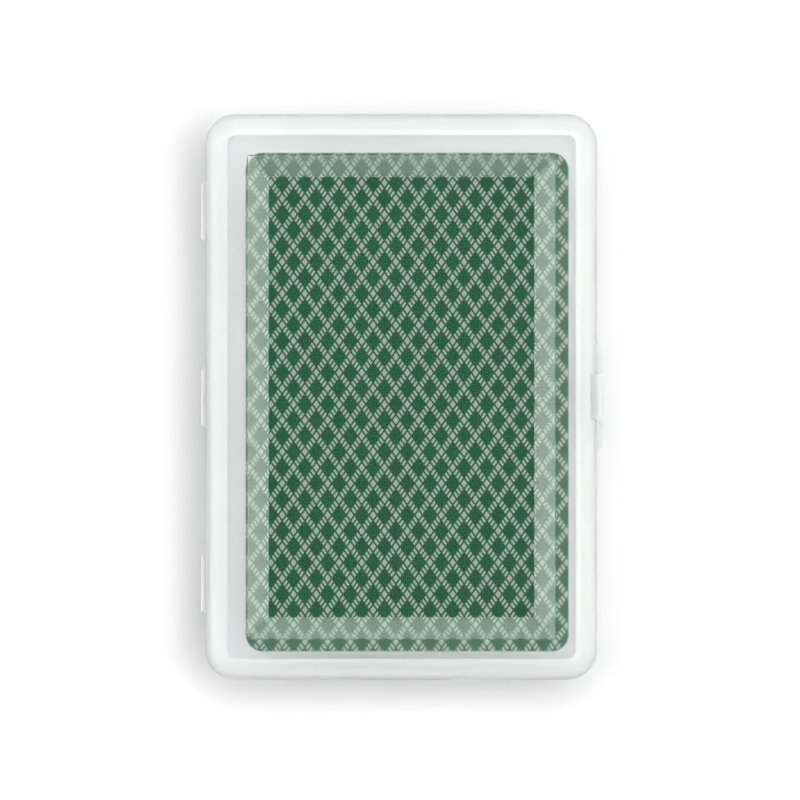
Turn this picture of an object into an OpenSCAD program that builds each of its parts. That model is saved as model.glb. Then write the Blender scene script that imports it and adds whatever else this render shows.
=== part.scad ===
// Pack of playing cards in a hinged case.
// A frosted clamshell of two equal halves holds 54 loose cards, backs up, under a sunken window.
// The latch side is +X, the hinge side is -X and the far end is +Y.
// The origin is in the middle of the case's underside, and all sizes are in millimetres.

/* [Cards] */
// Width of a card
card_w = 57; // [50:0.5:70]
// Length of a card
card_l = 88; // [80:0.5:120]
// Thickness of a card
card_t = 0.285; // [0.25:0.005:0.35]
// Corner radius of a card
card_r = 3; // [1.5:0.1:5]
// Offset of the pack from the middle of the case, towards the latch
pack_dx = 1; // [-1.4:0.1:1.4]
// Offset of the pack from the middle of the case, towards the far end
pack_dy = -0.9; // [-1.4:0.1:1.4]

/* [Case] */
// How far the pack can slide either way across the flat floor
play_x = 2.1; // [1.5:0.1:5]
// How far the pack can slide either way along the flat floor
play_y = 2; // [1.5:0.1:5]
// Thickness of the side walls and of the rim's top
wall = 1.2; // [1:0.1:1.6]
// Thickness of the floor
floor_t = 1.2; // [0.8:0.1:2]
// Rounding of the long edges around the top and the underside
edge_r = 4; // [2.6:0.1:6]
// Corner radius, in plan, of the flat inside the rounding
flat_r = 1.5; // [0.5:0.1:4]

/* [Window] */
// Flat width of the rim, between the rounding and the bevel
rim_w = 3.65; // [2:0.05:6]
// Width of the bevel in plan
bevel_w = 3.5; // [2:0.1:5]
// Depth of the sunken window below the rim
recess = 2.2; // [1.5:0.1:3]
// Thickness of the window and of the bevels
window_t = 1; // [0.8:0.1:1.5]
// Gap between the top card and the window
headroom = 0.21; // [0.15:0.01:1]

/* [Parting lip] */
// Height of the lip that stands on the base and locates the lid
lip_h = 1.2; // [0.6:0.1:2]
// Thickness of the lip
lip_t = 0.55; // [0.4:0.05:0.6]
// Clearance of the lip in the lid's rebate
lip_gap = 0.15; // [0.1:0.01:0.2]

/* [Hinges] */
// Distance of the outer hinges from the ends of the case
hinge_inset = 16.9; // [13:0.1:24]
// Length of a hinge leaf at the wall
hinge_l = 11.4; // [8:0.1:14]
// Chamfer at each end of a hinge leaf
hinge_chamfer = 0.6; // [0.2:0.1:1]
// How far the hinges stand out from the wall
hinge_out = 1.05; // [0.9:0.05:2]
// Thickness of a hinge leaf
leaf_t = 0.8; // [0.6:0.05:1.5]
// Radius of the film bead on the hinge line
film_r = 0.35; // [0.25:0.05:0.4]
// Clearance of the leaves round the film and between each other
film_gap = 0.05; // [0.04:0.01:0.1]

/* [Latch] */
// Length of the flange on the base, over both ears
flange_l = 19.6; // [16:0.1:30]
// How far the flange stands out from the wall
flange_out = 1.05; // [0.9:0.05:2]
// Height of the flange
flange_h = 4.5; // [3:0.1:6]
// Width of the tongue
tongue_w = 8; // [5:0.1:10]
// Thickness of the tongue
tongue_t = 0.6; // [0.5:0.05:0.8]
// Clearance between the tongue and the wall
tongue_gap = 0.2; // [0.18:0.01:0.4]
// Clearance between the tongue and each ear
ear_gap = 0.35; // [0.2:0.05:0.8]
// How far the tongue reaches below the parting line
tongue_drop = 4.6; // [3.5:0.1:6]
// Depth of the boss's top below the rim
boss_drop = 1; // [0.6:0.1:1.6]
// Height of the boss that carries the tongue
boss_h = 1.9; // [1.2:0.1:2.5]
// Clearance of the tongue's round top under the boss
root_gap = 0.05; // [0.04:0.01:0.1]
// Height of the catch ridge on the base
catch_h = 0.12; // [0.08:0.01:0.13]
// Width of the catch ridge at its foot
catch_w = 0.9; // [0.6:0.1:1.4]
// Depth of the catch ridge below the parting line
catch_drop = 2.6; // [2:0.1:2.8]

/* [Hidden] */
$fn = 64;
// Overshoot of a cut past the face that it opens
cut = 1;

// The pack, from the bottom card up
low_ranks = ["ace", "two", "three", "four", "five", "six", "seven"];
high_ranks = ["eight", "nine", "ten", "jack", "queen", "king"];
ranks = concat(low_ranks, high_ranks);
suits = ["spades", "hearts", "clubs", "diamonds"];
cards = concat([for (suit = suits) for (rank = ranks) str(rank, "_of_", suit)], ["black_joker", "red_joker"]);
pack_h = len(cards) * card_t;

// The case follows the pack that it holds
case_w = card_w + 2 * (play_x + edge_r);
case_l = card_l + 2 * (play_y + edge_r);
case_h = floor_t + pack_h + headroom + window_t + recess;
split_z = case_h / 2;
corner_r = edge_r + flat_r;
span_x = case_w - 2 * corner_r;
span_y = case_l - 2 * corner_r;

// The window lies inside the rim and the bevels
window_w = case_w - 2 * (edge_r + rim_w + bevel_w);
window_l = case_l - 2 * (edge_r + rim_w + bevel_w);
window_top = case_h - recess;
window_under = window_top - window_t;
bevel_run = bevel_w / recess;
bevel_len = sqrt(bevel_w * bevel_w + recess * recess);
// Widening of the window's underside that keeps the bevels as thick as the window
mitre = window_t * (bevel_len - bevel_w) / recess;

// The hinge line
hinge_names = ["hinge_film_near", "hinge_film_middle", "hinge_film_far"];
hinge_pitch = case_l / 2 - hinge_inset;
hinge_x = -case_w / 2 - hinge_out + film_r;
film_l = hinge_l - 2 * hinge_chamfer;

// The latch
tongue_x = case_w / 2 + tongue_gap;
boss_under = case_h - boss_drop - boss_h;
tongue_z = boss_under - root_gap - tongue_t / 2;

function hinge_y(i) = (i - (len(hinge_names) - 1) / 2) * hinge_pitch;

// Sweeps a profile round a rectangle: straight along the sides and a quarter turn at each corner
module around(size_x, size_y) {
    for (quarter = [0:3]) {
        side_x = (quarter == 0 || quarter == 3) ? 1 : -1;
        side_y = quarter < 2 ? 1 : -1;
        translate([side_x * size_x / 2, side_y * size_y / 2, 0])
            rotate(90 * quarter)
                rotate_extrude(angle = 90) children();
    }
    for (turn = [0, 180]) {
        rotate(turn)
            translate([size_x / 2, 0, 0])
                rotate([90, 0, 0])
                    linear_extrude(size_y, center = true) children();
        rotate(turn + 90)
            translate([size_y / 2, 0, 0])
                rotate([90, 0, 0])
                    linear_extrude(size_x, center = true) children();
    }
}

// A block with rounded corners in plan, whose corner arcs have the radius r
module slab(size_x, size_y, r, h) {
    translate([-size_x / 2, -size_y / 2, 0]) cube([size_x, size_y, h]);
    around(size_x, size_y) square([r, h]);
}

// Half of an edge profile, rounded at its foot
module tub_profile(r, foot_r, h) {
    square([r - foot_r, h]);
    translate([r - foot_r, foot_r]) {
        square([foot_r, h - foot_r]);
        intersection() {
            circle(foot_r);
            translate([0, -foot_r]) square(foot_r);
        }
    }
}

// A block on the case's plan, set in from its outer wall and rounded around its foot
module tub(inset, h) {
    translate([-span_x / 2, -span_y / 2, 0]) cube([span_x, span_y, h]);
    around(span_x, span_y) tub_profile(corner_r - inset, edge_r - inset, h);
}

// A section with sloped sides, which spread by run for each millimetre of height
module bevelled_section(foot_w, run, h) {
    top_w = foot_w + 2 * run * h;
    polygon([[-foot_w / 2, 0], [foot_w / 2, 0], [top_w / 2, h], [-top_w / 2, h]]);
}

// A block with four sloped sides
module bevelled_block(size_x, size_y, run, h) {
    intersection() {
        rotate([90, 0, 0])
            linear_extrude(size_y + 2 * (run * h + cut), center = true) bevelled_section(size_x, run, h);
        rotate([90, 0, 90])
            linear_extrude(size_x + 2 * (run * h + cut), center = true) bevelled_section(size_y, run, h);
    }
}

// The three hinge leaves of one half of the case, on the given side of the parting plane
module hinge_leaves(up) {
    leaf_z = up ? split_z + film_gap / 2 : split_z - film_gap / 2 - leaf_t;
    end_x = hinge_x + film_gap / 2;
    wall_x = -case_w / 2;
    end_y = hinge_l / 2 - hinge_chamfer;
    for (i = [0:len(hinge_names) - 1])
        translate([0, hinge_y(i), 0])
            difference() {
                translate([0, 0, leaf_z])
                    linear_extrude(leaf_t)
                        polygon([
                            [wall_x + wall, -hinge_l / 2],
                            [wall_x + wall, hinge_l / 2],
                            [wall_x, hinge_l / 2],
                            [end_x, end_y],
                            [end_x, -end_y],
                            [wall_x, -hinge_l / 2]
                        ]);
                translate([hinge_x, 0, split_z])
                    rotate([90, 0, 0]) cylinder(r = film_r + film_gap, h = hinge_l + cut, center = true);
            }
}

// The film on the hinge line, as a round bead that both leaves turn about
module hinge_film(i) {
    color("gainsboro")
        translate([hinge_x, hinge_y(i), split_z])
            rotate([90, 0, 0]) cylinder(r = film_r, h = film_l, center = true);
}

// The two ears of the flange, which guard the tongue between them
module latch_ears() {
    wall_x = case_w / 2;
    inner_y = tongue_w / 2 + ear_gap;
    for (side = [0, 1])
        mirror([0, side, 0])
            translate([0, 0, split_z - flange_h])
                linear_extrude(flange_h)
                    polygon([
                        [wall_x - wall, inner_y],
                        [wall_x + flange_out, inner_y],
                        [wall_x + flange_out, flange_l / 2 - flange_out],
                        [wall_x, flange_l / 2],
                        [wall_x - wall, flange_l / 2]
                    ]);
}

// The low ridge behind the tongue
module latch_catch() {
    translate([case_w / 2, 0, split_z - catch_drop])
        rotate([90, 0, 0])
            linear_extrude(tongue_w, center = true)
                polygon([
                    [-wall, -catch_w / 2],
                    [0, -catch_w / 2],
                    [catch_h, 0],
                    [0, catch_w / 2],
                    [-wall, catch_w / 2]
                ]);
}

module case_base() {
    color("whitesmoke", 0.5)
        difference() {
            union() {
                tub(0, split_z);
                translate([0, 0, split_z - lip_h])
                    slab(span_x, span_y, corner_r - wall + lip_t, 2 * lip_h);
                hinge_leaves(false);
                latch_ears();
                latch_catch();
            }
            translate([0, 0, floor_t]) tub(wall, split_z + lip_h);
        }
}

// The boss on the lid's rounded edge that the tongue hangs from
module latch_boss() {
    translate([case_w / 2 - edge_r, -tongue_w / 2, boss_under])
        cube([edge_r + tongue_gap + tongue_t, tongue_w, boss_h]);
}

module case_lid() {
    color("white", 0.5)
        difference() {
            union() {
                translate([0, 0, case_h]) rotate([180, 0, 0]) tub(0, case_h - split_z);
                hinge_leaves(true);
                latch_boss();
            }
            difference() {
                translate([0, 0, case_h - wall]) rotate([180, 0, 0]) tub(wall, case_h - split_z);
                translate([0, 0, window_under])
                    bevelled_block(window_w + 2 * mitre, window_l + 2 * mitre, bevel_run, window_t + recess);
            }
            translate([0, 0, window_top]) bevelled_block(window_w, window_l, bevel_run, recess + cut);
            translate([0, 0, split_z - cut])
                slab(span_x, span_y, corner_r - wall + lip_t + lip_gap, cut + lip_h + lip_gap);
        }
}

// The springy tongue, with a round top on the line that it flexes about
module latch_tongue() {
    foot = split_z - tongue_drop;
    color("gainsboro", 0.6)
        translate([tongue_x, tongue_w / 2, 0])
            rotate([90, 0, 0])
                linear_extrude(tongue_w) {
                    translate([0, foot]) square([tongue_t, tongue_z - foot]);
                    translate([tongue_t / 2, tongue_z])
                        intersection() {
                            circle(tongue_t / 2);
                            translate([-tongue_t / 2, 0]) square([tongue_t, tongue_t / 2]);
                        }
                }
}

module card(i) {
    color("darkgreen")
        translate([pack_dx, pack_dy, floor_t + i * card_t])
            slab(card_w - 2 * card_r, card_l - 2 * card_r, card_r, card_t);
}

case_base();
case_lid();
latch_tongue();
for (i = [0:len(hinge_names) - 1]) hinge_film(i);
for (i = [0:len(cards) - 1]) card(i);
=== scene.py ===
# %% [markdown]
# # A pack of cards in its frosted case
#
# The object is a full pack of playing cards in a hinged case of frosted plastic. The CAD model already
# says where each piece is and how it moves, so this lesson only dresses it: it models the moulded
# shells with soft edges, prints the cards, and gives every surface its finish.
#
# The frame is loaded first. Its box is kept, because dressing the object must not make it any bigger.

# %% Load the frame
import math

import bmesh
import bpy
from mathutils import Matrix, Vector
from mathutils.geometry import delaunay_2d_cdt


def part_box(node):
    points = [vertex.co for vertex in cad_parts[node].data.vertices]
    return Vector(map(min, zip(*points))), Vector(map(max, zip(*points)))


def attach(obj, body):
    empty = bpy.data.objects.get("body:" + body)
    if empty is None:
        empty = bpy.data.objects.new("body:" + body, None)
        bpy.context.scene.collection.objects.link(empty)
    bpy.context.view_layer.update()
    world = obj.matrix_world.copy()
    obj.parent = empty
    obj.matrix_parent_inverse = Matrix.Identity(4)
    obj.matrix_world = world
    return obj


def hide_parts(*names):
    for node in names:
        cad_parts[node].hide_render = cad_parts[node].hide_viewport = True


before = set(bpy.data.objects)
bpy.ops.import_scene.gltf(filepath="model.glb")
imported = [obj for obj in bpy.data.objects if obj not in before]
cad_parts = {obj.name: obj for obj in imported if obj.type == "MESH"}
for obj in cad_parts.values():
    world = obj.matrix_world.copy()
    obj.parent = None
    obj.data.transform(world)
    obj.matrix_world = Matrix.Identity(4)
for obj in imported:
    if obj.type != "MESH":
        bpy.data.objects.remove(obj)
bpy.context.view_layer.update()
scene = bpy.context.scene
print("nodes:", len(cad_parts))

# %% [markdown]
# ## Sizes
#
# Blender works in metres, and a case like this is drawn in millimetres. A single factor keeps the sizes
# readable. The outer size is read from the frame, so the shells follow the CAD model. It could be
# written down again, but then the two models would drift apart with the first change. Hinges and latch
# stand out from the walls by the same step.

# %% Read the case's size from the frame
MM = 0.001
HINGE_OUT = 1.05
lid_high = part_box("case_lid")[1] / MM
base_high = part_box("case_base")[1] / MM
case_height = lid_high.z
half_length = lid_high.y
half_width = base_high.x - HINGE_OUT
parting = case_height / 2
print(f"case {2 * half_width:.1f} x {2 * half_length:.1f} x {case_height:.1f} mm")

# %% [markdown]
# ## Shader maths as Python
#
# A procedural finish is arithmetic on sockets. Wiring Math nodes by hand hides the formula, so one
# small class wraps a socket and turns Python's operators into Math nodes. Every other node comes from
# one method: it sets the node's settings first and then fills or links its sockets.

# %% A socket that knows arithmetic
class Wire:
    """An output socket in a node tree."""

    def __init__(self, tree, socket=None):
        self.tree = tree
        self.socket = socket

    def node(self, kind, settings=None, sockets=None, out=0):
        made = self.tree.nodes.new("ShaderNode" + kind)
        for name, value in (settings or {}).items():
            setattr(made, name, value)
        for name, value in (sockets or {}).items():
            if isinstance(value, Wire):
                self.tree.links.new(value.socket, made.inputs[name])
            else:
                made.inputs[name].default_value = value
        return Wire(self.tree, made.outputs[out])

    def maths(self, operation, *values, clamp=False):
        return self.node("Math", {"operation": operation, "use_clamp": clamp}, dict(enumerate(values)))

    def __add__(self, other):
        return self.maths("ADD", self, other)

    def __sub__(self, other):
        return self.maths("SUBTRACT", self, other)

    def __rsub__(self, other):
        return self.maths("SUBTRACT", other, self)

    def __mul__(self, other):
        return self.maths("MULTIPLY", self, other)

    def __truediv__(self, other):
        return self.maths("DIVIDE", self, other)

    def __rtruediv__(self, other):
        return self.maths("DIVIDE", other, self)

    def __abs__(self):
        return self.maths("ABSOLUTE", self)

    __radd__ = __add__
    __rmul__ = __mul__

    def root(self):
        return self.maths("SQRT", self)

    def fraction(self):
        return self.maths("FRACT", self)

    def least(self, other):
        return self.maths("MINIMUM", self, other)

    def most(self, other):
        return self.maths("MAXIMUM", self, other)

    def within(self, limit, soft):
        """1 where this value is under the limit and 0 above it, with a soft step between."""
        return self.maths("ADD", (limit - self) / soft, 0.5, clamp=True)

    def between(self, low, high):
        """From low to high as this value goes from 0 to 1."""
        return self * (high - low) + low

    def mix(self, colour_a, colour_b):
        """From colour_a to colour_b as this value goes from 0 to 1."""
        return self.node("Mix", {"data_type": "RGBA"}, {0: self, 6: colour_a, 7: colour_b}, out=2)

    def axes(self):
        split = self.node("SeparateXYZ", None, {0: self}).socket.node
        return [Wire(self.tree, socket) for socket in split.outputs]


print("socket maths ready")

# %% [markdown]
# ## Camera
#
# The photograph looks straight down at the case from far away: neither side wall shows. An orthographic
# camera could do that, but a long lens keeps the slight spread that a real picture has. The camera's
# distance follows from the lens, from the width of the view and from the height of the top card, on
# which the view is scaled.

# %% Place the camera
VIEW_WIDTH = 141.2
VIEW_CENTRE = Vector((-0.26, -0.53))
LENS = 200
SENSOR = 36
view_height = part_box("red_joker")[1].z
view_distance = VIEW_WIDTH * MM * LENS / SENSOR

camera_data = bpy.data.cameras.new("camera")
camera_data.lens = LENS
camera_data.sensor_width = SENSOR
camera = bpy.data.objects.new("camera", camera_data)
camera.location = (VIEW_CENTRE.x * MM, VIEW_CENTRE.y * MM, view_height + view_distance)
scene.collection.objects.link(camera)
scene.camera = camera
print(f"camera {view_distance:.2f} m above the top card")

# %% [markdown]
# ## Light
#
# The case lies on white in a light tent. Its main light is a broad ring round the camera, brighter to
# the right and to the far side, which lays a short shadow on the left and in front. The middle of the
# ring is dark, where the camera looks in, so that the window mirrors nothing. Lamps could do that, but
# frosted plastic stops the rays that Cycles sends to lamps, and light that is painted into the world
# gives a cleaner picture.
#
# Light crosses many faces on its way through a shut case, so its paths may be longer than Blender's
# usual ones.

# %% Make a world that knows the direction of a ray
world = bpy.data.worlds.new("studio")
world.use_nodes = True
scene.world = world
scene.view_settings.view_transform = "Standard"
scene.cycles.max_bounces = 32
scene.cycles.transmission_bounces = 32
scene.cycles.glossy_bounces = 16
scene.cycles.diffuse_bounces = 8
sky = Wire(world.node_tree)
toward_x, toward_y, _ = sky.node("TexCoord").axes()
off_middle = (toward_x * toward_x + toward_y * toward_y).root()
print("light paths of up to", scene.cycles.max_bounces, "bounces")

# %% [markdown]
# Three strips in the tent, on the right, on the left and at the far side, grow brighter towards the
# horizon. They are what the bevels and the rounded edges mirror. Each strip is a product of soft steps
# on the ray's direction, and so is the ring, which leans towards its bright side.

# %% Paint the strips and the ring
RIGHT_LIGHT = 2.4
LEFT_LIGHT = 2.7
FAR_LIGHT = 0.9
STRIP_HALF = 0.22
STRIP_START = 0.3
RING_LIGHT = 5.2
RING_LEAN = Vector((1.95, 1.25))
RING_HOLE = 0.23
RING_EDGE = 0.48
SOFT = 0.1
HOLE_SOFT = SOFT / 3
beside_x = abs(toward_y).within(STRIP_HALF, SOFT)
beside_y = abs(toward_x).within(STRIP_HALF, SOFT)
right_strip = beside_x * toward_x * (1 - toward_x.within(STRIP_START, SOFT))
left_strip = beside_x * abs(toward_x) * toward_x.within(-STRIP_START, SOFT)
far_strip = beside_y * toward_y * (1 - toward_y.within(STRIP_START, SOFT))
strips = right_strip * RIGHT_LIGHT + left_strip * LEFT_LIGHT + far_strip * FAR_LIGHT
lean = toward_x * RING_LEAN.x + toward_y * RING_LEAN.y + 1
ring = off_middle.within(RING_EDGE, SOFT) * RING_LIGHT * lean
outside_hole = 1 - off_middle.within(RING_HOLE, HOLE_SOFT)
ring_angles = [round(math.degrees(math.asin(edge))) for edge in (RING_HOLE, RING_EDGE)]
print("inner and outer angle of the ring, in degrees:", ring_angles)

# %% [markdown]
# The rest of the tent is dim cloth, except for the small hole of the camera. The camera's own rays see
# plain white behind the floor, and Light Path tells them from the others.

# %% Light the world
TENT_LIGHT = 0.34
HOLE_LIGHT = 0.03
CAMERA_HOLE = 0.1
outside_camera = 1 - off_middle.within(CAMERA_HOLE, HOLE_SOFT)
tent = outside_hole * (strips + ring) + outside_camera * TENT_LIGHT + HOLE_LIGHT
camera_ray = sky.node("LightPath")
strength = camera_ray + (1 - camera_ray) * tent
background = world.node_tree.nodes["Background"]
background.inputs["Color"].default_value = (1, 1, 1, 1)
world.node_tree.links.new(strength.socket, background.inputs["Strength"])
print("nodes in the light tent:", len(world.node_tree.nodes))

# %% [markdown]
# ## Finishes
#
# A finish here is always a Principled shader. What is the same all over the surface is set on the
# shader's own sockets, and what varies is fed to it from noise of a known size. Each finish could be
# wired from nodes on the spot, but a few short helpers keep the finishes below down to what they say.

# %% Helpers for finishes
def finish(name, settings):
    """A material with its Principled shader, whose even values are set on its own sockets."""
    material = bpy.data.materials.new(name)
    material.use_nodes = True
    shader = material.node_tree.nodes["Principled BSDF"]
    for socket, value in settings.items():
        shader.inputs[socket].default_value = value
    return material, shader, Wire(material.node_tree)


def feed(shader, socket, wire):
    wire.tree.links.new(wire.socket, shader.inputs[socket])


def noise(place, size, detail=2.0):
    """Noise whose blotches are about as big as a size in millimetres."""
    return place.node("TexNoise", None, {"Vector": place, "Scale": 1 / (size * MM), "Detail": detail})


def bump(height, strength, depth):
    """A bumpy normal, for a depth in millimetres."""
    return height.node("Bump", None, {"Strength": strength, "Distance": depth * MM, "Height": height})


def brighter(colour, times):
    return (*(channel * times for channel in colour[:3]), 1)


print("helpers ready")

# %% [markdown]
# ## The floor
#
# The floor is a plain sheet of pale board, far bigger than the view. It could lie just at the bottom of
# the case, but where two faces share one plane, a ray that leaves the clear rim of the open lid can
# miss the floor and come out dark. So it lies a hair lower.

# %% Lay the floor
FLOOR_SIZE = 3000.0
FLOOR_DROP = 0.1
FLOOR_GREY = (0.63, 0.63, 0.63, 1)
FLOOR_MATT = (0.75, 0.85)
FLOOR_MOTTLE = 25.0
UNIT_SQUARE = [(-1, -1), (1, -1), (1, 1), (-1, 1)]
half_floor = FLOOR_SIZE * MM / 2
floor_corners = [(x * half_floor, y * half_floor, -FLOOR_DROP * MM) for x, y in UNIT_SQUARE]
floor_mesh = bpy.data.meshes.new("floor")
floor_mesh.from_pydata(floor_corners, [], [(0, 1, 2, 3)])
floor = bpy.data.objects.new("floor", floor_mesh)
scene.collection.objects.link(floor)

floor_finish, shader, nodes = finish("pale_floor", {"Specular IOR Level": 0.1})
mottle = noise(nodes.node("TexCoord", out=3), FLOOR_MOTTLE)
feed(shader, "Base Color", mottle.mix(FLOOR_GREY, brighter(FLOOR_GREY, 1.03)))
feed(shader, "Roughness", mottle.between(*FLOOR_MATT))
floor_mesh.materials.append(floor_finish)
print(f"floor of {FLOOR_SIZE * MM:.0f} m laid")

# %% [markdown]
# ## Frosted plastic
#
# The case is moulded in clear plastic from a mould with a fine matt grain. Light goes through it and is
# spread a little at each face. Transmission is the same all over, so it is set on the shader. Colour
# and roughness follow a slow cloud, like the flow of the plastic in the mould, and a fine bump is the
# grain.
#
# One finish for the whole case would be simpler, but six tell more: the rim outside and inside, the
# hazy bevels, the polished window, the walls, and the milky floor of the base. Seen from above a wall
# is thick, so it is nearly white inside, under a smooth skin that takes the highlights. The bevels'
# strong green is painted light from the green cards below them, over the plastic's own slight tint.

# %% Mix the plastics
GRAIN = 0.18
GRAIN_STRENGTH = 0.3
FLOW = 9.0
FLOW_SPREAD = 0.15
SKIN_MATT = 0.16
PLASTIC_IOR = 1.49
RIM_TINT = (0.97, 0.981, 0.986, 1)
WALL_TINT = (0.968, 0.983, 0.978, 1)
# Painted green light from the cards below the bevels, over the plastic's own slight tint
BEVEL_TINT_WITH_PAINTED_CARD_LIGHT = (0.89, 0.99, 0.93, 1)


def plastic(name, matt, clear, grain_depth, gloss=0, tint=RIM_TINT):
    """Clear plastic with the grain of its mould, and a smooth skin where it has a gloss."""
    material, shader, nodes = finish(name, {
        "Transmission Weight": clear,
        "IOR": PLASTIC_IOR,
        "Coat Weight": gloss,
        "Coat Roughness": SKIN_MATT,
    })
    place = nodes.node("TexCoord", out=3)
    flow = noise(place, FLOW, detail=3.0)
    feed(shader, "Base Color", flow.mix(tint, brighter(tint, 1.008)))
    feed(shader, "Roughness", flow.between(matt * (1 - FLOW_SPREAD), matt * (1 + FLOW_SPREAD)))
    feed(shader, "Normal", bump(noise(place, GRAIN, detail=1.0), GRAIN_STRENGTH, grain_depth))
    return material


case_plastics = [
    plastic("frosted_outside", matt=0.13, clear=1.0, grain_depth=0.003),
    plastic("frosted_inside", matt=0.24, clear=1.0, grain_depth=0.006),
    # The bevels carry painted green light from the cards below them
    plastic("bevel", matt=0.24, clear=0.925, grain_depth=0.003, tint=BEVEL_TINT_WITH_PAINTED_CARD_LIGHT),
    plastic("polished_window", matt=0.09, clear=1.0, grain_depth=0.001),
    plastic("frosted_wall", matt=0.65, clear=0.8, grain_depth=0.002, gloss=0.35, tint=WALL_TINT),
    plastic("milky_base", matt=0.4, clear=0.1, grain_depth=0.005),
]
OUTSIDE, INSIDE, BEVEL, WINDOW, SIDE, MILKY = range(len(case_plastics))
print("plastics:", [material.name for material in case_plastics])

# %% [markdown]
# ## The shells
#
# Each half of the case is a thin shell whose wall has the same section all the way round. It could be a
# cube with modifiers, but then the step at the parting line and the sunken window would be hard to
# place. Here the section is drawn once, as a line of corners with a radius each, and swept round the
# plan of the case. A point of the section is how far it lies in from the outer wall, and how high.

# %% Draw a section with rounded corners
ARC_STEP = math.radians(9)


def rounded_line(corners):
    """A line through (inset, height, radius) corners, with an arc at each corner that has a radius.

    Gives (point, corner number) pairs, so that a stretch of the line can be told from the next.
    """
    points = [Vector(corner[:2]) for corner in corners]
    line = []
    for i, (point, (_, _, radius)) in enumerate(zip(points, corners)):
        if not radius:
            line.append((point, i))
            continue
        back = (points[i - 1] - point).normalized()
        ahead = (points[i + 1] - point).normalized()
        half_angle = back.angle(ahead) / 2
        middle = point + (back + ahead).normalized() * radius / math.sin(half_angle)
        first = point + back * radius / math.tan(half_angle) - middle
        last = point + ahead * radius / math.tan(half_angle) - middle
        start = math.atan2(first.y, first.x)
        turn = math.remainder(math.atan2(last.y, last.x) - start, math.tau)
        steps = max(2, math.ceil(abs(turn) / ARC_STEP))
        for step in range(steps + 1):
            angle = start + turn * step / steps
            line.append((middle + radius * Vector((math.cos(angle), math.sin(angle))), i))
    return line


print(len(rounded_line([(0, 0, 0), (4, 0, 1), (4, 4, 0)])), "points in a line with one rounded corner")

# %% [markdown]
# The plan is a rounded rectangle. Every point of the section gets its own copy, set in from the
# outline, and all copies have the same number of points, so that neighbours can be joined by plain
# quads. The corners of the window are almost sharp, as on the real lid, so the radius has a lower
# limit.

# %% Sweep a section round the plan
CORNER = 5.5
CREASE = 0.2
CORNER_STEPS = 12


def plan_loop(half_x, half_y, corner, inset, least_corner, steps):
    """The points of a rounded rectangle, set in from its outline."""
    radius = max(corner - inset, least_corner)
    loop = []
    for quarter in range(4):
        side_x = 1 if quarter in (0, 3) else -1
        side_y = 1 if quarter < 2 else -1
        for step in range(steps + 1):
            angle = math.radians(90 * (quarter + step / steps))
            loop.append(Vector((
                side_x * (half_x - inset - radius) + radius * math.cos(angle),
                side_y * (half_y - inset - radius) + radius * math.sin(angle),
            )))
    return loop


def wall_between(mesh, one, other, finish_number):
    """Quads between two loops of as many points."""
    for i in range(len(one)):
        j = (i + 1) % len(one)
        mesh.faces.new((one[i], one[j], other[j], other[i])).material_index = finish_number


def as_object(name, mesh, finishes):
    """An object of a bmesh, linked to the scene, with its finishes and its faces turned outward."""
    bmesh.ops.recalc_face_normals(mesh, faces=mesh.faces)
    data = bpy.data.meshes.new(name)
    mesh.to_mesh(data)
    mesh.free()
    for material in finishes:
        data.materials.append(material)
    made = bpy.data.objects.new(name, data)
    scene.collection.objects.link(made)
    return made


def swept_shell(name, corners):
    """A closed shell whose section starts and ends in a flat sheet across the middle.

    A corner is (inset, height, radius, finish), and its finish goes on to the next corner.
    """
    section = rounded_line([corner[:3] for corner in corners])
    finishes = [corner[3] for corner in corners]
    mesh = bmesh.new()
    loops = []
    for (inset, height), _ in section:
        plan = plan_loop(half_width, half_length, CORNER, inset, CREASE, CORNER_STEPS)
        loops.append([mesh.verts.new(Vector((*point, height)) * MM) for point in plan])
    for one, other, (_, corner) in zip(loops, loops[1:], section):
        wall_between(mesh, one, other, finishes[corner])
    mesh.faces.new(loops[0]).material_index = finishes[0]
    mesh.faces.new(loops[-1]).material_index = finishes[-1]
    return as_object(name, mesh, case_plastics)


print("points round the plan:", 4 * (CORNER_STEPS + 1))

# %% [markdown]
# The lid is drawn from the top of its window outward, down the outer wall to the parting line, and back
# along the inside. Its wall is rebated at the parting line, where the lip of the base slips in. The
# bevels are as thick as the window, so the corner under the window lies further out than the one above
# it by a mitre.

# %% Sweep the lid
WALL = 1.2
EDGE_ROUND = 4.0
RIM_WIDTH = 3.65
BEVEL_WIDTH = 3.5
RECESS = 2.2
WINDOW_THICKNESS = 1.0
LIP_HEIGHT = 1.2
LIP_THICKNESS = 0.55
LIP_GAP = 0.15
BROKEN_EDGE = 0.14
WINDOW_EDGE = 0.2
RIM_EDGE = 0.08
CREASE_SHIFT = 0.25
SHEET_MARGIN = 1.0
rim_inset = EDGE_ROUND + RIM_WIDTH
under_rim_inset = rim_inset - CREASE_SHIFT
window_inset = rim_inset + BEVEL_WIDTH
sheet_inset = window_inset + SHEET_MARGIN
mitre = WINDOW_THICKNESS * (math.hypot(BEVEL_WIDTH, RECESS) - BEVEL_WIDTH) / RECESS
window_top = case_height - RECESS
window_under = window_top - WINDOW_THICKNESS
ceiling = case_height - WALL
lip_inset = WALL - LIP_THICKNESS
lip_top = parting + LIP_HEIGHT
rebate_inset = lip_inset - LIP_GAP
rebate_top = lip_top + LIP_GAP

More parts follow.
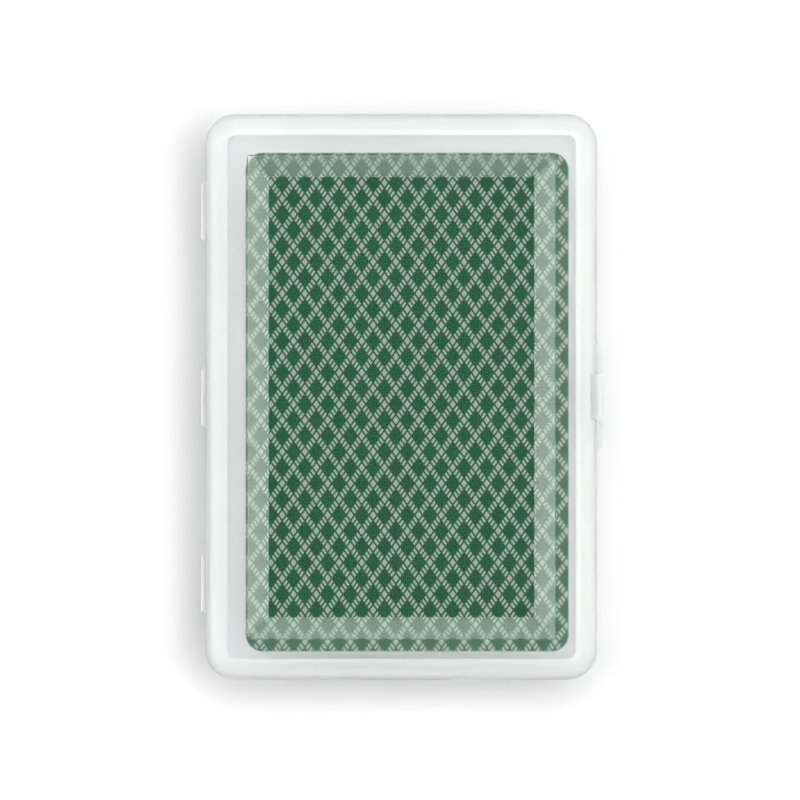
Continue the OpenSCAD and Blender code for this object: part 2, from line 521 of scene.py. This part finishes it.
lid = swept_shell("lid_shell", [
    (sheet_inset, window_top, 0, WINDOW),
    (window_inset, window_top, WINDOW_EDGE, BEVEL),
    (rim_inset, case_height, RIM_EDGE, OUTSIDE),
    (0, case_height, EDGE_ROUND, SIDE),
    (0, parting, BROKEN_EDGE, SIDE),
    (rebate_inset, parting, BROKEN_EDGE, SIDE),
    (rebate_inset, rebate_top, 0, INSIDE),
    (WALL, rebate_top, BROKEN_EDGE, INSIDE),
    (WALL, ceiling, EDGE_ROUND - WALL, INSIDE),
    (under_rim_inset, ceiling, RIM_EDGE, BEVEL),
    (window_inset - mitre, window_under, WINDOW_EDGE, WINDOW),
    (sheet_inset, window_under, 0, WINDOW),
])
print(f"window {2 * (half_width - window_inset):.1f} x {2 * (half_length - window_inset):.1f} mm")

# %% [markdown]
# The base is a plain tray with the same rounding. Its lip stands up inside the lid and keeps the two
# halves in line.

# %% Sweep the base
FLOOR_THICKNESS = 1.2
base = swept_shell("base_shell", [
    (sheet_inset, 0, 0, MILKY),
    (0, 0, EDGE_ROUND, SIDE),
    (0, parting, BROKEN_EDGE, SIDE),
    (lip_inset, parting, 0, SIDE),
    (lip_inset, lip_top, BROKEN_EDGE, SIDE),
    (WALL, lip_top, BROKEN_EDGE, SIDE),
    (WALL, FLOOR_THICKNESS, EDGE_ROUND - WALL, MILKY),
    (sheet_inset, FLOOR_THICKNESS, 0, MILKY),
])
print("shell faces:", len(lid.data.polygons), len(base.data.polygons))

# %% [markdown]
# ## Hinges and latch
#
# The shells carry small blocks: three hinge leaves on each half, two ears that guard the latch, a catch
# ridge, and the boss that the tongue hangs from. They are moulded in one with the wall, so each is made
# as a little prism with broken edges and then joined to its shell by a boolean union. Blocks that only
# stick in the wall would be easier, but a union leaves one skin, and no hidden faces for the light to
# stumble over.

# %% Prisms with broken edges
FINE_EDGE = 0.08
SHARP_EDGE = math.radians(30)


def prism(name, outline, low, high, plastic_number, upright=False, edge=FINE_EDGE):
    """Extrude a closed outline: along Z where it is upright, and else along Y."""
    mesh = bmesh.new()
    ends = []
    for level in (low, high):
        places = [(a, b, level) if upright else (a, level, b) for a, b in outline]
        ends.append([mesh.verts.new(Vector(place) * MM) for place in places])
    bottom, top = ends
    wall_between(mesh, bottom, top, plastic_number)
    mesh.faces.new(bottom)
    mesh.faces.new(top)
    bmesh.ops.recalc_face_normals(mesh, faces=mesh.faces)
    sharp = [e for e in mesh.edges if e.calc_face_angle() > SHARP_EDGE]
    bmesh.ops.bevel(mesh, geom=sharp, offset=edge * MM, segments=2, profile=0.5, affect="EDGES")
    for face in mesh.faces:
        face.material_index = plastic_number
    return as_object(name, mesh, case_plastics)


def unite(shell, blocks):
    """Join blocks to a shell, so that both have one skin."""
    for block in blocks:
        joint = shell.modifiers.new(block.name, "BOOLEAN")
        joint.operation = "UNION"
        joint.solver = "MANIFOLD"
        joint.object = block


print("blocks can be joined")

# %% [markdown]
# A leaf reaches from the wall to the film that it turns on, and is hollowed round that film. Its ends
# taper outward, so each point is pulled towards the middle by how far it stands out. The lower leaves
# are milky, like the floor of the base: that is how they show against the pale floor.

# %% Fold out the hinge leaves
HINGE_LENGTH = 11.4
HINGE_CHAMFER = 0.6
LEAF_THICKNESS = 0.8
FILM_RADIUS = 0.35
FILM_GAP = 0.05
HOLLOW_STEPS = 6
ROOT = 0.3
hinge_nodes = ("hinge_film_near", "hinge_film_middle", "hinge_film_far")
hinge_line = -half_width - HINGE_OUT + FILM_RADIUS


def leaf_section(side):
    """The section of a leaf above the parting line, or below it where side is -1."""
    near = parting + side * FILM_GAP / 2
    far = near + side * LEAF_THICKNESS
    reach = FILM_RADIUS + FILM_GAP
    angles = [math.radians(90 * step / HOLLOW_STEPS) for step in range(HOLLOW_STEPS, 0, -1)]
    hollow = [(hinge_line + reach * math.cos(a), parting + side * reach * math.sin(a)) for a in angles]
    return hollow + [
        (hinge_line + reach, near),
        (-half_width + ROOT, near),
        (-half_width + ROOT, far),
        (hinge_line, far),
    ]


def hinge_leaf(node, side, plastic_number):
    """A block for one leaf beside a film, tapered outward."""
    low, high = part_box(node)
    middle = (low.y + high.y) / 2 / MM
    half = HINGE_LENGTH / 2
    leaf = prism(f"leaf_{side}_{node}", leaf_section(side), middle - half, middle + half, plastic_number)
    for vertex in leaf.data.vertices:
        out = max(0, (-half_width - vertex.co.x / MM) / (HINGE_OUT - FILM_RADIUS))
        past = vertex.co.y / MM - middle
        vertex.co.y = (middle + past * (1 - out * HINGE_CHAMFER / half)) * MM
    return leaf


unite(lid, [hinge_leaf(node, 1, SIDE) for node in hinge_nodes])
unite(base, [hinge_leaf(node, -1, MILKY) for node in hinge_nodes])
print("hinge leaves:", 2 * len(hinge_nodes))

# %% [markdown]
# The latch is a tongue on the lid that snaps over a ridge on the base. The two ears beside it are one
# flange with a gap for the tongue, so that it can't be pushed aside. Their outer ends slope back to the
# wall.

# %% Add the ears and the catch
FLANGE_LENGTH = 19.6
FLANGE_HEIGHT = 4.5
EAR_GAP = 0.35
EAR_DROP = 0.02
CATCH_HEIGHT = 0.12
CATCH_WIDTH = 0.9
CATCH_DROP = 2.6
CATCH_EDGE = 0.02
tongue_low, tongue_high = (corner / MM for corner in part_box("latch_tongue"))
flange_reach = base_high.x
flange_root = half_width - ROOT
ear_start = tongue_high.y + EAR_GAP
ear_end = FLANGE_LENGTH / 2
ear_top = parting - EAR_DROP
blocks = []
for side in (-1, 1):
    outline = [
        (flange_root, side * ear_start),
        (flange_reach, side * ear_start),
        (flange_reach, side * (ear_end - (flange_reach - half_width))),
        (half_width, side * ear_end),
        (flange_root, side * ear_end),
    ]
    blocks.append(prism(f"ear_{side}", outline, parting - FLANGE_HEIGHT, ear_top, SIDE, upright=True))

catch_middle = parting - CATCH_DROP
ridge = [
    (flange_root, catch_middle - CATCH_WIDTH / 2),
    (half_width, catch_middle - CATCH_WIDTH / 2),
    (half_width + CATCH_HEIGHT, catch_middle),
    (half_width, catch_middle + CATCH_WIDTH / 2),
    (flange_root, catch_middle + CATCH_WIDTH / 2),
]
blocks.append(prism("catch", ridge, tongue_low.y, tongue_high.y, SIDE, edge=CATCH_EDGE))
unite(base, blocks)
print(f"flange reaches {flange_reach:.2f} mm from the middle")

# %% [markdown]
# The boss grows out of the rounded edge of the lid. A block that went through the wall would show
# inside, so its inner side follows the middle of the wall's arc.

# %% Add the boss
BOSS_DROP = 1.0
BOSS_HEIGHT = 1.9
BOSS_STEPS = 5
boss_top = case_height - BOSS_DROP
boss_under = boss_top - BOSS_HEIGHT
mid_shell = EDGE_ROUND - WALL / 2
rounding_x = half_width - EDGE_ROUND
rounding_z = case_height - EDGE_ROUND
seat = []
for step in range(BOSS_STEPS + 1):
    height = boss_under + BOSS_HEIGHT * step / BOSS_STEPS
    seat.append((rounding_x + math.sqrt(mid_shell**2 - (height - rounding_z)**2), height))
boss_outline = seat + [(tongue_high.x, boss_top), (tongue_high.x, boss_under)]
unite(lid, [prism("boss", boss_outline, tongue_low.y, tongue_high.y, SIDE)])
print(f"boss from {boss_under:.1f} to {boss_top:.1f} mm high")

# %% [markdown]
# The unions are still modifiers. Reading the evaluated mesh settles them, and the loose blocks can go.
# Smooth shading alone would smear light over the flat faces, so sharp edges stay sharp, and the normals
# are weighted by the size of the faces.

# %% Settle each shell into one mesh
SHARP = math.radians(32)


def settled(shell, name):
    """A piece of the shell with its blocks joined on, shaded smooth across its roundings only."""
    blocks = [joint.object for joint in shell.modifiers]
    bpy.context.view_layer.update()
    shown = shell.evaluated_get(bpy.context.evaluated_depsgraph_get())
    mesh = bpy.data.meshes.new_from_object(shown)
    mesh.name = name
    mesh.shade_smooth()
    mesh.set_sharp_from_angle(angle=SHARP)
    piece = bpy.data.objects.new(name, mesh)
    scene.collection.objects.link(piece)
    piece.modifiers.new("even shading", "WEIGHTED_NORMAL").keep_sharp = True
    for part in blocks + [shell]:
        bpy.data.objects.remove(part)
    return piece


case_lid = settled(lid, "lid")
case_base = settled(base, "base")
for piece, body, node in ((case_lid, "lid", "case_lid"), (case_base, "base", "case_base")):
    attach(piece, body)
    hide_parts(node)
    used = [face.material_index for face in piece.data.polygons]
    print(piece.name, "faces by finish:", [used.count(i) for i in range(len(piece.data.materials))])

# %% [markdown]
# ## The tongue and the films
#
# The tongue is a springy strap that hangs from the boss and snaps over the catch. It is one prism with
# a round top, because it flexes about that line. The films are the thin beads that the leaves turn on.
# Their CAD shape is already right, so they keep it and only get the plastic.

# %% Hang the tongue and finish the films
TONGUE_STEPS = 8
tongue_half = (tongue_high.x - tongue_low.x) / 2
tongue_middle = (tongue_high.x + tongue_low.x) / 2
tongue_outline = [(tongue_low.x, tongue_low.z), (tongue_high.x, tongue_low.z)]
for step in range(TONGUE_STEPS + 1):
    angle = math.pi * step / TONGUE_STEPS
    tongue_outline.append((
        tongue_middle + tongue_half * math.cos(angle),
        tongue_high.z - tongue_half + tongue_half * math.sin(angle),
    ))
strap = prism("tongue_block", tongue_outline, tongue_low.y, tongue_high.y, SIDE)
tongue = settled(strap, "tongue")
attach(tongue, "latch")
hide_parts("latch_tongue")
for node in hinge_nodes:
    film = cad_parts[node]
    film.data.materials.clear()
    film.data.materials.append(case_plastics[OUTSIDE])
print("tongue faces:", len(tongue.data.polygons), "films finished:", len(hinge_nodes))

# %% [markdown]
# ## The back of a card
#
# The backs carry the common lattice of such packs: small light diamonds on a grid, joined along both
# diagonals by bands of three short strokes, on dark green. A picture would do, but a formula stays
# sharp at any distance. Two slanted coordinates run along the diagonals, so that one period of each is
# a cell of the lattice.

# %% Work out the lattice
CELL_WIDTH = 4.012
CELL_LENGTH = 5.585
LATTICE_PLACE = Vector((-2.99, 9.88))
DIAMOND = 0.133
BAND = 0.143
STROKE = 0.0625
STROKE_APART = 0.21
INK_EDGE = 0.03


def lattice(x, y):
    """1 on the pale strokes and diamonds and 0 on the green, for a place in millimetres."""
    across = (x - LATTICE_PLACE.x) / CELL_WIDTH
    along = (y - LATTICE_PLACE.y) / CELL_LENGTH
    rise = abs((across + along).fraction() - 0.5)
    fall = abs((across - along).fraction() - 0.5)
    pale = (0.5 - rise).most(0.5 - fall).within(DIAMOND, INK_EDGE)
    for over, beside in ((rise, fall), (fall, rise)):
        band = (0.5 - beside).within(BAND, INK_EDGE)
        strokes = over.least(abs(over - STROKE_APART)).within(STROKE, INK_EDGE)
        pale = pale.most(band.least(strokes))
    return pale


print(f"lattice cells of {CELL_WIDTH:.1f} x {CELL_LENGTH:.1f} mm")

# %% [markdown]
# The board under the print is slightly mottled, which shows in the green, in the gloss and in the way
# that the varnish lies. The varnish is weak: a strong one would mirror the light tent through the
# window.

# %% Print the backs
BACK_MATT = (0.26, 0.34)
BACK_MOTTLE = 0.6
VARNISH_DEPTH = 0.002
INK_GREEN = (0.0058, 0.088, 0.0325, 1)
INK_PALE = (0.35, 0.445, 0.36, 1)
back_print, shader, nodes = finish("card_back", {"Specular IOR Level": 0.15})
place = nodes.node("TexCoord", out=3)
x, y, _ = place.axes()
mottle = noise(place, BACK_MOTTLE)
green = mottle.mix(INK_GREEN, brighter(INK_GREEN, 1.12))
feed(shader, "Base Color", lattice(x / MM, y / MM).mix(green, INK_PALE))
feed(shader, "Roughness", mottle.between(*BACK_MATT))
feed(shader, "Normal", bump(mottle, strength=0.1, depth=VARNISH_DEPTH))
print("nodes in the print of a back:", len(back_print.node_tree.nodes))

# %% [markdown]
# ## Paper and ink
#
# The faces are bare paper with ink on it. Paper has a soft fibre, which shades its colour and lifts its
# surface. Ink is a little denser in one place than in another. Flat colours would do from afar, but a
# card in the hand is seen from near.

# %% Mix paper and inks
FIBRE = 0.25
FIBRE_DEPTH = 0.004
PAPER_DIM = (0.82, 0.81, 0.77, 1)
PAPER_LIGHT = (0.88, 0.87, 0.84, 1)
PAPER_MATT = (0.5, 0.65)
INK_CLOUD = 0.4
INK_MATT = (0.35, 0.45)
paper, shader, nodes = finish("card_paper", {"Specular IOR Level": 0.2})
fibre = noise(nodes.node("TexCoord", out=3), FIBRE, detail=3.0)
feed(shader, "Base Color", fibre.mix(PAPER_DIM, PAPER_LIGHT))
feed(shader, "Roughness", fibre.between(*PAPER_MATT))
feed(shader, "Normal", bump(fibre, strength=0.2, depth=FIBRE_DEPTH))


def ink(name, colour):
    material, shader, nodes = finish(name, {"Specular IOR Level": 0.3})
    density = noise(nodes.node("TexCoord", out=3), INK_CLOUD)
    feed(shader, "Base Color", density.mix(colour, brighter(colour, 1.25)))
    feed(shader, "Roughness", density.between(*INK_MATT))
    return material


red_ink = ink("red_ink", (0.5, 0.015, 0.02, 1))
black_ink = ink("black_ink", (0.012, 0.012, 0.014, 1))
print("on the faces:", paper.name, red_ink.name, black_ink.name)

# %% [markdown]
# The cut edges of a pack show each card as a pale line with a dark gap below it, where shade falls.
# Real gaps that fine would flicker, so that shade is painted by the height in the pack: one card is
# one period, and a fuzz along the cut breaks the line up.

# %% Finish the cut edges
GAP_SHADE_WIDTH = 0.16
GAP_SHADE_STRENGTH = (0.4, 1.0)
# Painted shade in the gap under each card
GAP_SHADE_GREY = (0.4, 0.4, 0.38, 1)
CUT_WHITE = (0.86, 0.85, 0.81, 1)
CUT_FUZZ = 0.8
CUT_MATT = (0.55, 0.75)
card_low, card_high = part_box("red_joker")
cut_paper, shader, nodes = finish("card_edge", {"Specular IOR Level": 0.2})
place = nodes.node("TexCoord", out=3)
_, _, z = place.axes()
layer = (z - card_low.z) / (card_high.z - card_low.z)
from_gap = 0.5 - abs(layer.fraction() - 0.5)
fuzz = noise(place, CUT_FUZZ, detail=3.0)
# Painted shade in the gap between cards, darkest where one card meets the next
painted_gap_shade = from_gap.within(GAP_SHADE_WIDTH, GAP_SHADE_WIDTH) * fuzz.between(*GAP_SHADE_STRENGTH)
feed(shader, "Base Color", painted_gap_shade.mix(CUT_WHITE, GAP_SHADE_GREY))
feed(shader, "Roughness", fuzz.between(*CUT_MATT))
print(f"a card is {(card_high.z - card_low.z) / MM:.3f} mm thick")

# %% [markdown]
# ## The faces
#
# The pack lies face down, so the faces are on the undersides. A face is ink on paper: suit signs,
# called pips, and an index in two corners. The signs are simple curves: a heart, a heart on its head
# with a stem, three discs with a stem, and a diamond with hollow sides. A shape here is a list of
# closed lines, and a place is inked if it lies inside an odd number of them. A letter with a hole is
# one shape with two lines.

# %% Draw the four suits
CLUB_DISC = 0.245
LEAF_LIFT = 0.12
DIAMOND_SIGN = Vector((0.38, 0.52))
DIAMOND_HOLLOW = 2.2


def around(count):
    return [math.tau * step / count for step in range(count)]


def disc(radius, middle=(0, 0), count=16):
    return [Vector(middle) + radius * Vector((math.cos(a), math.sin(a))) for a in around(count)]


def bent(value, power):
    return math.copysign(abs(value) ** power, value)


# The heart is the well-known curve of one sine and three cosines, brought down to about one unit.
heart = [
    Vector((16 * math.sin(a) ** 3, 15 * math.cos(a) - 5 * math.cos(2 * a) - 2 * math.cos(3 * a))) / 32
    for a in around(28)
]
leaf = [Vector((-point.x, LEAF_LIFT - point.y)) for point in heart]
diamond = [
    DIAMOND_SIGN * Vector((bent(math.cos(a), DIAMOND_HOLLOW), bent(math.sin(a), DIAMOND_HOLLOW)))
    for a in around(24)
]
stem = [Vector(corner) for corner in ((-0.2, -0.52), (0.2, -0.52), (0.04, 0), (-0.04, 0))]
club_discs = [[disc(CLUB_DISC, middle)] for middle in ((0, 0.25), (-0.25, -0.1), (0.25, -0.1))]
suits = {
    "hearts": [[heart]],
    "spades": [[leaf], [stem]],
    "diamonds": [[diamond]],
    "clubs": club_discs + [[stem]],
}
print({name: sum(len(line) for shape in shapes for line in shape) for name, shapes in suits.items()})

# %% [markdown]
# The letters of the index come from Blender's own font. A text curve that is not filled turns into a
# mesh of bare edges, and walking along them gives the closed lines of each letter.

# %% Trace the letters
LETTER_WIDTH = 0.62


def traced(mesh):
    """The closed lines of a mesh of edges."""
    beside = {vertex.index: [] for vertex in mesh.vertices}
    for edge in mesh.edges:
        one, other = edge.vertices
        beside[one].append(other)
        beside[other].append(one)
    lines = []
    left = set(beside)
    while left:
        line = [min(left)]
        ahead = line
        while ahead:
            left.discard(line[-1])
            ahead = [vertex for vertex in beside[line[-1]] if vertex in left]
            line += ahead[:1]
        lines.append([mesh.vertices[vertex].co.xy for vertex in line])
    return lines


def letters(text, widest=LETTER_WIDTH):
    """One shape for a text round the origin, squeezed where it is too wide."""
    curve = bpy.data.curves.new("letters", "FONT")
    curve.body = text
    curve.fill_mode = "NONE"
    curve.resolution_u = 3
    writing = bpy.data.objects.new("letters", curve)
    scene.collection.objects.link(writing)
    mesh = bpy.data.meshes.new_from_object(writing.evaluated_get(bpy.context.evaluated_depsgraph_get()))
    lines = traced(mesh)
    bpy.data.objects.remove(writing)
    bpy.data.curves.remove(curve)
    bpy.data.meshes.remove(mesh)
    points = [point for line in lines for point in line]
    low = Vector(map(min, zip(*points)))
    high = Vector(map(max, zip(*points)))
    middle = (low + high) / 2
    squeeze = min(1, widest / (high.x - low.x))
    return [[[Vector(((p.x - middle.x) * squeeze, p.y - middle.y)) for p in line] for line in lines]]


print("lines in the letter Q:", len(letters("Q")[0]))

# %% [markdown]
# Number cards follow the old layout: two columns of pips, and up to two in the middle. Everything below
# the middle is upside down, so that a card reads from both ends.

# %% Place the pips
PIP = 10.0
COLUMN = 10.5
TOP_ROW = 27.0
number_words = ("two", "three", "four", "five", "six", "seven", "eight", "nine", "ten")
numbers = {word: number for number, word in enumerate(number_words, 2)}


def placed(shapes, place, size):
    """Shapes at a place on the card and at a size, both in millimetres."""
    return [[[Vector(place) + size * point for point in line] for line in shape] for shape in shapes]


def half_turned(shapes):
    """The same shapes upside down, for whoever sits across the table."""
    return [[[-point for point in line] for line in shape] for shape in shapes]


def spread(count):
    """Rows from the top to the bottom of the card."""
    return [TOP_ROW * (1 - 2 * row / (count - 1)) for row in range(count)] if count > 1 else [0] * count


def pip_places(count):
    """The traditional layout of a number card."""
    side_rows = (count + 3) // 3 if count > 3 else 0
    in_middle = count - 2 * side_rows
    step = 2 * TOP_ROW / max(1, side_rows - 1)
    if not side_rows:
        middle_rows = spread(in_middle)
    elif in_middle == 2:
        middle_rows = [TOP_ROW - step / 2, step / 2 - TOP_ROW]
    else:
        middle_rows = [step / 2 if side_rows % 2 else 0] * in_middle
    columns = [(side * COLUMN, row) for side in (-1, 1) for row in spread(side_rows)]
    return columns + [(0, row) for row in middle_rows]


def number_pips(sign, count):
    pips = []
    for column, row in pip_places(count):
        pips += placed(sign if row >= 0 else half_turned(sign), (column, row), PIP)
    return pips


print("pips of a seven:", pip_places(7))

# %% [markdown]
# Court cards usually carry figures. Here they are crowns in a frame, with more points for a higher
# rank, and a row of small diamonds between the two halves. The jokers get a star.

# %% Draw crowns and stars
FRAME = Vector((17.0, 35.0))
FRAME_LINE = Vector((0.5, 0.5))
CROWN_HALF = 10.0
CROWN_FOOT = 6.0
CROWN_DIP = 7.0
CROWN_RISE = 15.0
CROWN_BALL = 1.1
BALL_LIFT = Vector((0, 1.4))
STAR_HOLLOW = 0.42
crown_points = {"jack": 3, "queen": 4, "king": 5}


def crown(points):
    """A crown for the upper half of a court card: a foot, and a ball on each point."""
    line = [Vector((CROWN_HALF, CROWN_FOOT)), Vector((-CROWN_HALF, CROWN_FOOT))]
    for step in range(2 * points + 1):
        high = CROWN_FOOT + (CROWN_RISE if step % 2 else CROWN_DIP)
        line.append(Vector((CROWN_HALF * (step / points - 1), high)))
    balls = [[disc(CROWN_BALL, point + BALL_LIFT)] for point in line[3::2]]
    return [[line]] + balls


def rectangle(half):
    return [Vector((half.x * a, half.y * b)) for a, b in UNIT_SQUARE]


def star(points=5):
    """A star of radius 1 with one point at the top."""
    line = []
    for i, angle in enumerate(around(2 * points)):
        reach = 1 if i % 2 else STAR_HOLLOW
        line.append(reach * Vector((math.sin(angle), -math.cos(angle))))
    return [[line]]


print("lines of a king's crown:", len(crown(crown_points["king"])))

# %% [markdown]
# A face is put together from its index, its pips or its crown, and the same again upside down. Its name
# in the frame says which card it is.

# %% Lay out a face
INDEX_PLACE = Vector((-23.2, 36.4))
INDEX_DROP = Vector((0, 7.6))
INDEX_SIZE = 10.0
INDEX_PIP = 5.4
ACE_PIP = 24.0
COURT_PIP = 8.0
COURT_STEP = 6.0
JOKER_PLACE = Vector((0, 24))
JOKER_SIZE = 8.0
JOKER_WIDTH = 3
JOKER_STAR = 14.4


def face_shapes(node):
    """All the ink on one face, in millimetres from its middle."""
    rank, _, suit = node.partition("_of_")
    if not suit:
        half = placed(star(), INDEX_PLACE, INDEX_PIP)
        half += placed(letters("JOKER", JOKER_WIDTH), JOKER_PLACE, JOKER_SIZE)
        return half + half_turned(half) + placed(star(), (0, 0), JOKER_STAR)
    sign = suits[suit]
    half = placed(letters(str(numbers.get(rank, rank[0].upper()))), INDEX_PLACE, INDEX_SIZE)
    half += placed(sign, INDEX_PLACE - INDEX_DROP, INDEX_PIP)
    if rank in numbers:
        return half + half_turned(half) + number_pips(sign, numbers[rank])
    if rank == "ace":
        return half + half_turned(half) + placed(sign, (0, 0), ACE_PIP)
    half += placed(sign, (-COLUMN, TOP_ROW), COURT_PIP) + crown(crown_points[rank])
    middle = [[rectangle(FRAME), rectangle(FRAME - FRAME_LINE)]]
    for i in range(-2, 3):
        middle += placed(suits["diamonds"], (COURT_STEP * i, 0), INDEX_PIP)
    return half + half_turned(half) + middle


print("shapes on the queen of clubs:", len(face_shapes("queen_of_clubs")))

# %% [markdown]
# ## The cards
#
# A card is a closed slab with its cut edge slightly broken. The underside is split along the lines of
# its print, so that each piece of ink is a face of its own. Ink as separate thin plates would flicker
# against the paper. The split is done in the plane, with the triangulation behind the Fill Curve node,
# which also tells in which lines each triangle lies. Seen from below, left and right change sides.

# %% Print an underside
BACK, PAPER, INK, CUT = range(4)
SAME_POINT = 0.001
ONLY_INSIDE = 1


def leftward(line):
    """The same closed line, walked with its inside on the left."""
    area = sum(one.cross(other) for one, other in zip(line, line[1:] + line[:1]))
    return line if area > 0 else line[::-1]


def print_underside(mesh, edge, middle, shapes):
    """Fill the lower edge of a card with paper and ink faces."""
    height = edge[0].co.z
    edge = edge[::-1]
    spots = [Vector((middle.x - corner.co.x / MM, corner.co.y / MM - middle.y)) for corner in edge]
    lines = [list(range(len(edge)))]
    shape_of_line = [None]
    for number, shape in enumerate(shapes):
        for line in shape:
            lines.append(list(range(len(spots), len(spots) + len(line))))
            shape_of_line.append(number)
            spots += leftward(line)
    points, _, triangles, sources, _, inside = delaunay_2d_cdt(spots, [], lines, ONLY_INSIDE, SAME_POINT)
    places = []
    for point, source in zip(points, sources):
        known = [i for i in source if i < len(edge)]
        place = Vector((middle.x - point.x, middle.y + point.y)) * MM
        places.append(edge[known[0]] if known else mesh.verts.new((place.x, place.y, height)))
    for triangle, around_it in zip(triangles, inside):
        numbers_in = [shape_of_line[line] for line in around_it if line]
        inked = any(numbers_in.count(number) % 2 for number in numbers_in)
        mesh.faces.new([places[i] for i in triangle]).material_index = INK if inked else PAPER


print("undersides can be printed")

# %% [markdown]
# The cards are cut in the order of the pack, from the bottom up. A film of air under each keeps a card
# that slides clear of the one below it. The top card is the loose one, so it rides on a body of its
# own.

# %% Cut the cards
CARD_CORNER = 3.0
CARD_CORNER_STEPS = 8
CUT_EDGE = 0.04
AIR = 0.01
pack_nodes = [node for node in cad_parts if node.endswith(("joker", *suits))]
pack_nodes.sort(key=lambda node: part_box(node)[0].z)


def card(node):
    """One card, with its back on top."""
    low, high = (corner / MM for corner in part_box(node))
    middle = (low + high) / 2
    half = (high - low) / 2
    under = low.z + AIR
    section = ((CUT_EDGE, under), (0, under + CUT_EDGE), (0, high.z - CUT_EDGE), (CUT_EDGE, high.z))
    mesh = bmesh.new()
    loops = []
    for inset, height in section:
        plan = plan_loop(half.x, half.y, CARD_CORNER, inset, CREASE, CARD_CORNER_STEPS)
        loops.append([mesh.verts.new(Vector((*(middle.xy + point), height)) * MM) for point in plan])
    for one, other in zip(loops, loops[1:]):
        wall_between(mesh, one, other, CUT)
    mesh.faces.new(loops[-1]).material_index = BACK
    print_underside(mesh, loops[0], middle, face_shapes(node))
    red = node.endswith(("hearts", "diamonds")) or node == "red_joker"
    made = as_object("card_" + node, mesh, [back_print, paper, red_ink if red else black_ink, cut_paper])
    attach(made, "top_card" if node == pack_nodes[-1] else "pack")
    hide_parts(node)
    return made


pack = [card(node) for node in pack_nodes]
print("cards:", len(pack), "top card:", pack_nodes[-1])
print("faces of all cards:", sum(len(piece.data.polygons) for piece in pack))
